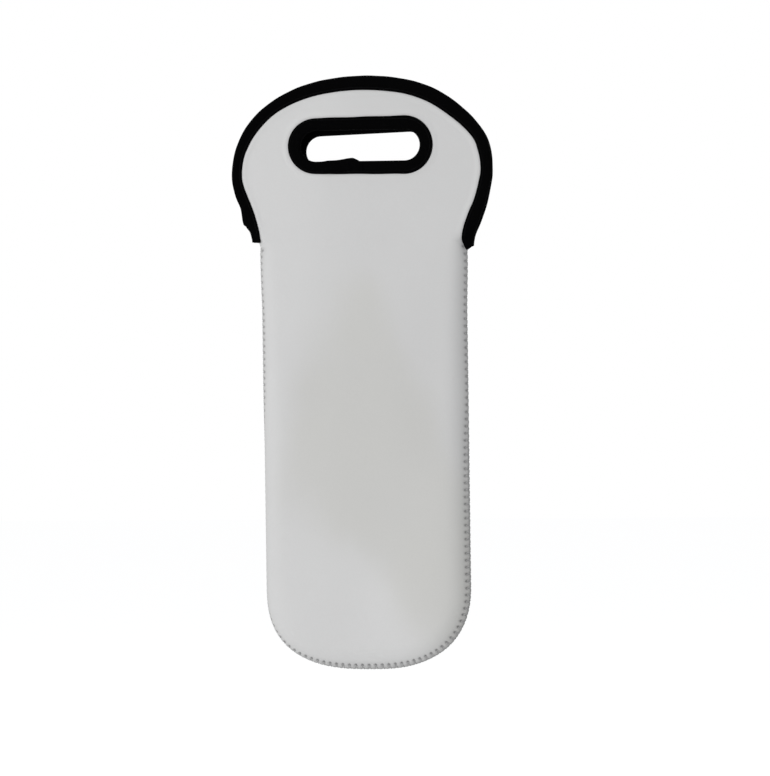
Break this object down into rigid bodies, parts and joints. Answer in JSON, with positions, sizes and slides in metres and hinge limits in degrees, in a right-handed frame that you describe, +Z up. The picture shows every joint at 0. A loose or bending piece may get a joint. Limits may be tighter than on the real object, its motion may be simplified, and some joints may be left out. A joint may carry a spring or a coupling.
{
  "type": "bottle carrier",
  "caption": "Soft neoprene carrier for one bottle: a flat sewn pouch under two rounded flaps, each with a taped edge and a hand slot, which fold outwards to open the mouth.",
  "frame": {"origin": "middle of the hand slot, halfway between the two flaps", "axes": "+Z up from the pouch to the top of the flaps, -Y out of the front panel, +X to the right seen from the front"},
  "size_m": [0.163, 0.022, 0.3649],
  "materials": {
    "face_knit": "matt white knit face of the laminate",
    "foam": "soft white neoprene foam",
    "lining_knit": "matt white knit lining",
    "binding_tape": "matt black woven tape",
    "binding_thread": "black polyester thread",
    "seam_thread": "light grey polyester thread"
  },
  "bodies": {
    "pouch": {"front_pouch_fabric": "face_knit", "front_pouch_foam": "foam", "front_pouch_lining": "lining_knit", "back_pouch_fabric": "face_knit", "back_pouch_foam": "foam", "back_pouch_lining": "lining_knit", "side_seam_thread": "seam_thread", "front_fold": "face_knit", "back_fold": "face_knit", "front_binding_tails": "binding_tape", "back_binding_tails": "binding_tape"},
    "front_flap": {"front_flap_fabric": "face_knit", "front_flap_foam": "foam", "front_flap_lining": "lining_knit", "front_edge_binding": "binding_tape", "front_edge_stitch": "binding_thread", "front_slot_binding": "binding_tape", "front_slot_stitch": "binding_thread"},
    "back_flap": {"back_flap_fabric": "face_knit", "back_flap_foam": "foam", "back_flap_lining": "lining_knit", "back_edge_binding": "binding_tape", "back_edge_stitch": "binding_thread", "back_slot_binding": "binding_tape", "back_slot_stitch": "binding_thread"}
  },
  "joints": [
    {"name": "front_opening", "type": "hinge", "parent": "pouch", "child": "front_flap", "pos_m": [0, -0.005, -0.0557], "axis": [1, 0, 0], "range_deg": [0, 80], "stiffness_Nm_per_rad": 0.03, "deforming": ["front_fold", "front_binding_tails"]},
    {"name": "back_opening", "type": "hinge", "parent": "pouch", "child": "back_flap", "pos_m": [0, 0.005, -0.0557], "axis": [-1, 0, 0], "range_deg": [0, 80], "stiffness_Nm_per_rad": 0.03, "deforming": ["back_fold", "back_binding_tails"]}
  ]
}
